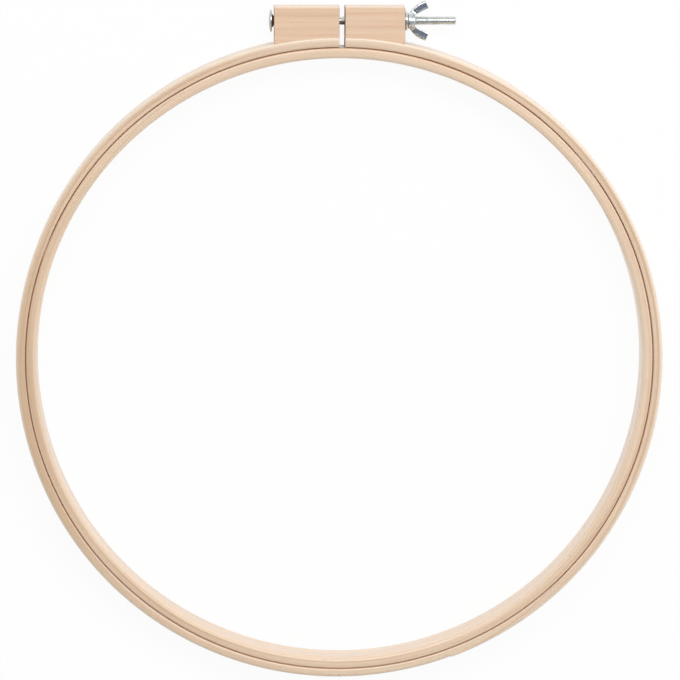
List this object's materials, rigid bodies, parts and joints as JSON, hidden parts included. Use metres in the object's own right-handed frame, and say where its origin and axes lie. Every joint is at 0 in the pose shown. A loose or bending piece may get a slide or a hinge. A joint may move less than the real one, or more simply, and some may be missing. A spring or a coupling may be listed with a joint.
{
  "type": "embroidery hoop",
  "caption": "Round wooden embroidery hoop: an inner ring inside a split outer ring, closed by a bolt with a wing nut through two blocks.",
  "frame": {"origin": "under the middle of the whole object's box, on the surface that the hoop lies on; the rings' own axis is 10.05 mm toward -Y from it", "axes": "+Z along the rings' axis, up; +Y from the rings' axis toward the clamp; +X along the clamp bolt, from its head toward its wing nut"},
  "size_m": [0.3668, 0.387, 0.024],
  "materials": {
    "ring_wood": "sanded pale beech, satin",
    "block_wood": "sanded pale beech, satin",
    "zinc_bolt": "bright zinc plate",
    "zinc_nut": "bright zinc plate over forged steel"
  },
  "bodies": {
    "left_half": {"outer_ring_left_half": "ring_wood", "left_clamp_block": "block_wood", "clamp_bolt": "zinc_bolt"},
    "right_half": {"outer_ring_right_half": "ring_wood", "right_clamp_block": "block_wood"},
    "washer": {"washer": "zinc_bolt"},
    "wing_nut": {"wing_nut": "zinc_nut"},
    "inner_ring": {"inner_ring": "ring_wood"}
  },
  "joints": [
    {"name": "washer_slide", "type": "slide", "parent": "left_half", "child": "washer", "axis": [1, 0, 0], "range_m": [0, 0.008]},
    {"name": "nut_turn", "type": "hinge", "parent": "washer", "child": "wing_nut", "pos_m": [0.03825, 0.1822, 0.012], "axis": [1, 0, 0], "range_deg": [0, 3600]},
    {"name": "outer_ring_open", "type": "hinge", "parent": "left_half", "child": "right_half", "pos_m": [0, -0.19082, 0.012], "axis": [0, 0, -1], "range_deg": [0, 1.23]},
    {"name": "inner_ring_lift", "type": "slide", "parent": "left_half", "child": "inner_ring", "axis": [0, 0, 1], "range_m": [0, 0.06]}
  ],
  "couplings": [
    {"joint": "washer_slide", "follows": "nut_turn", "m_per_rad": 0.00012732},
    {"joint": "outer_ring_open", "follows": "nut_turn", "ratio": 0.00034136}
  ]
}
